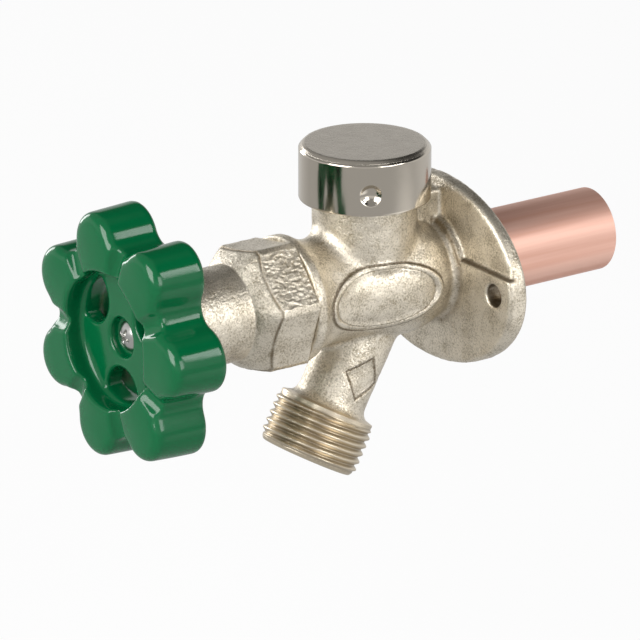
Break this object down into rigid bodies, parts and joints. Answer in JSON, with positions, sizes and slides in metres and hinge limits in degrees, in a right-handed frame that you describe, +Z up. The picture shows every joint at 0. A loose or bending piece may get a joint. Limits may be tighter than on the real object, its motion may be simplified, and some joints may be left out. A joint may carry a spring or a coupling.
{
  "type": "frost free sillcock",
  "caption": "Frost free wall tap with a lobed handle, hexagon bonnet, vent tower under a cap, oval wall flange, leaning hose spout and a copper tube that holds the valve.",
  "frame": {"origin": "centre of the wall flange's back face, on the tube's axis", "axes": "+Z up, +Y into the wall along the tube, -Y towards the handle, +X to the right when facing the wall"},
  "size_m": [0.0722, 0.1553, 0.089],
  "materials": {
    "nickel_brass": "nickel-plated rough casting",
    "copper": "drawn copper",
    "brass": "machined",
    "green_enamel": "gloss enamel",
    "chrome": "polished",
    "steel": "stainless",
    "rubber": "moulded",
    "ceramic": "lapped ceramic",
    "plastic": "acetal"
  },
  "bodies": {
    "tap_body": {"head_casting": "nickel_brass", "casing_tube": "copper", "bonnet_nut": "nickel_brass", "bonnet_seal": "rubber", "thrust_washer": "plastic", "cartridge_shell": "plastic", "fixed_disc": "ceramic", "cartridge_seal": "rubber", "inlet_seat": "brass", "vent_seat": "brass", "vent_seat_o_ring": "rubber", "vent_cap": "chrome"},
    "spindle": {"handle": "green_enamel", "handle_screw": "steel", "stem": "brass", "stem_o_rings": "rubber", "operating_rod": "brass", "rod_pin": "steel", "disc_driver": "brass", "moving_disc": "ceramic"},
    "float": {"vent_float": "plastic", "float_seal": "rubber"}
  },
  "joints": [
    {"name": "handle_turn", "type": "hinge", "parent": "tap_body", "child": "spindle", "pos_m": [0, -0.0912, 0], "axis": [0, -1, 0], "range_deg": [0, 90]},
    {"name": "float_lift", "type": "slide", "parent": "tap_body", "child": "float", "axis": [0, 0, 1], "range_m": [0, 0.003]}
  ]
}
